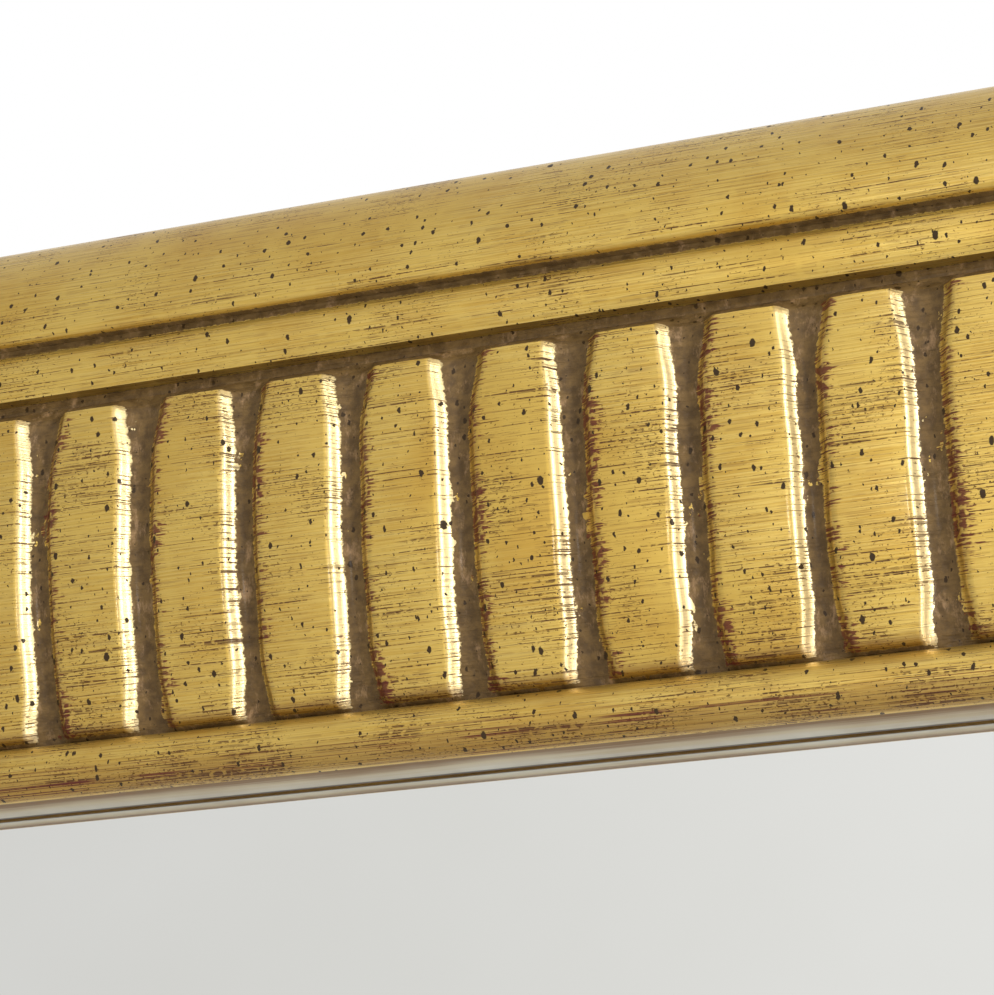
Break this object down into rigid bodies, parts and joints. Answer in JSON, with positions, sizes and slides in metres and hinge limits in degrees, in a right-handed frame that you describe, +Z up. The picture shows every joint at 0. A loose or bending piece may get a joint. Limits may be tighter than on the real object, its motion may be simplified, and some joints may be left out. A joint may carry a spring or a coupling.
{
  "type": "bevelled wall mirror",
  "caption": "Rectangular bevelled mirror in a mitred gilded frame with a crowned, fluted frieze, hung on the wall by strap hangers with swinging rings.",
  "frame": {"origin": "middle of the mirror's outline on the wall plane, where the bumpers meet the wall", "axes": "+X to the viewer's right, +Y into the wall, +Z up; the glass faces -Y"},
  "size_m": [0.7992, 0.0447, 1.104],
  "materials": {
    "gilded_wood": "antiqued gold leaf over red bole, taupe in the flutes",
    "silvered_glass": "polished",
    "felt": "matte",
    "card": "matte",
    "hardboard": "smooth hardboard",
    "block_rubber": "matte",
    "point_steel": "bright zinc",
    "bumper_rubber": "matte",
    "hanger_steel": "nickel plated",
    "screw_steel": "zinc plated"
  },
  "bodies": {
    "frame": {"top_rail": "gilded_wood", "bottom_rail": "gilded_wood", "left_stile": "gilded_wood", "right_stile": "gilded_wood", "mirror_plate": "silvered_glass", "top_felt": "felt", "bottom_felt": "felt", "left_felt": "felt", "right_felt": "felt", "filler_sheet": "card", "backing_board": "hardboard", "setting_blocks": "block_rubber", "glazier_points": "point_steel", "corner_nails": "point_steel", "wall_bumpers": "bumper_rubber", "left_hanger_strap": "hanger_steel", "right_hanger_strap": "hanger_steel", "hanger_screws": "screw_steel"},
    "left_ring": {"left_hanger_ring": "hanger_steel"},
    "right_ring": {"right_hanger_ring": "hanger_steel"}
  },
  "joints": [
    {"name": "left_ring_swing", "type": "hinge", "parent": "frame", "child": "left_ring", "pos_m": [-0.3532, -0.00342, 0.3], "axis": [-1, 0, 0], "range_deg": [0, 180]},
    {"name": "right_ring_swing", "type": "hinge", "parent": "frame", "child": "right_ring", "pos_m": [0.3532, -0.00342, 0.3], "axis": [-1, 0, 0], "range_deg": [0, 180]}
  ]
}
